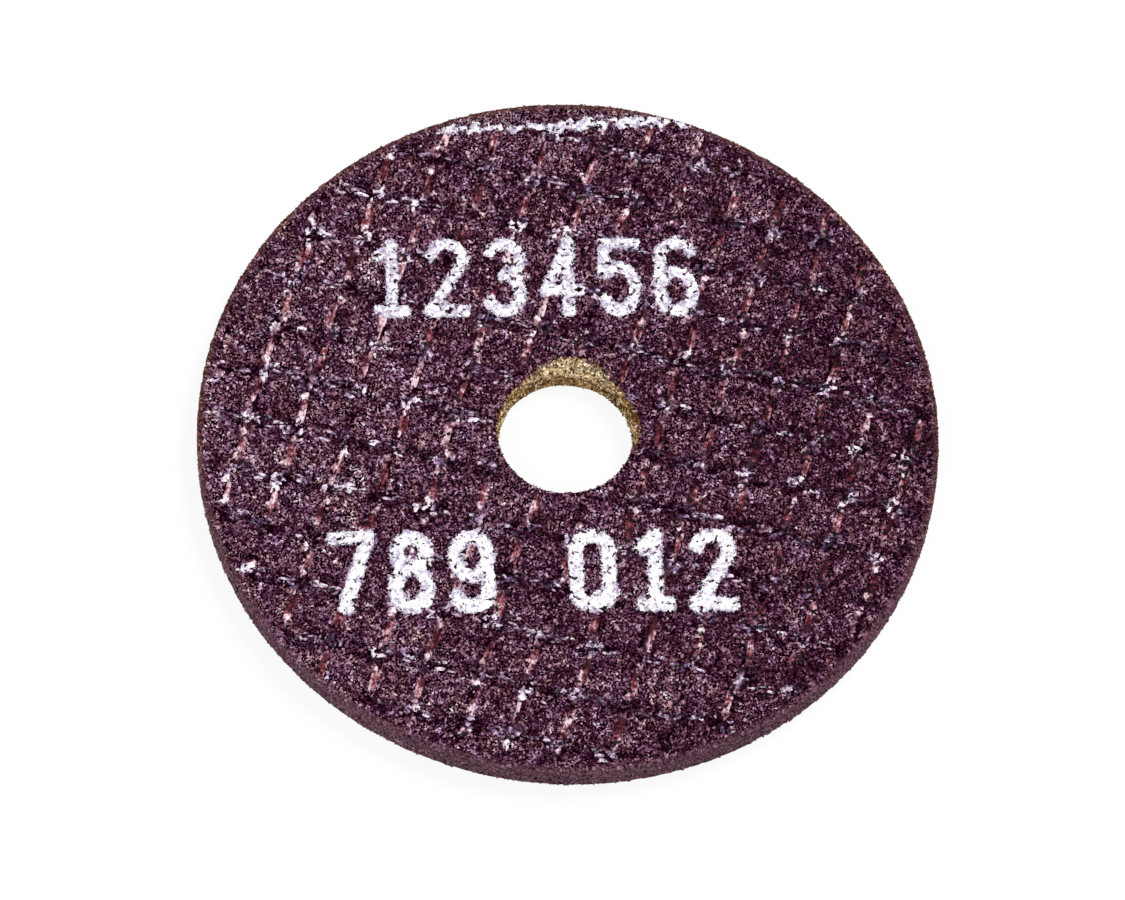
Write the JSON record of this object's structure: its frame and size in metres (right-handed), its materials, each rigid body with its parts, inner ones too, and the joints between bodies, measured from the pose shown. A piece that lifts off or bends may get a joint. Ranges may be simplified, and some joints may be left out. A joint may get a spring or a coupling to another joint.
{
  "type": "reinforced abrasive cut-off wheel",
  "caption": "Small flat round cut-off wheel of resin-bonded brown grain with an open glass cloth pressed into each face and a plain centre bore.",
  "frame": {"origin": "on the bore axis, in the plane of the back face, on which the wheel lies", "axes": "+Z along the bore axis, out of the front face; +X along the lines of print on the front face, left to right; +Y towards the top of the print"},
  "size_m": [0.0508, 0.0508, 0.0024],
  "materials": {
    "bonded_grain": "rough open grain, dark purplish brown, ochre where it is cut or worn",
    "warp_yarn": "resin-soaked glass yarn, reddish, satin",
    "weft_yarn": "resin-soaked glass yarn, greyish, glinting",
    "print_ink": "worn white ink on the tops of the grain"
  },
  "bodies": {
    "root": {"abrasive_wheel": "bonded_grain"}
  },
  "joints": []
}
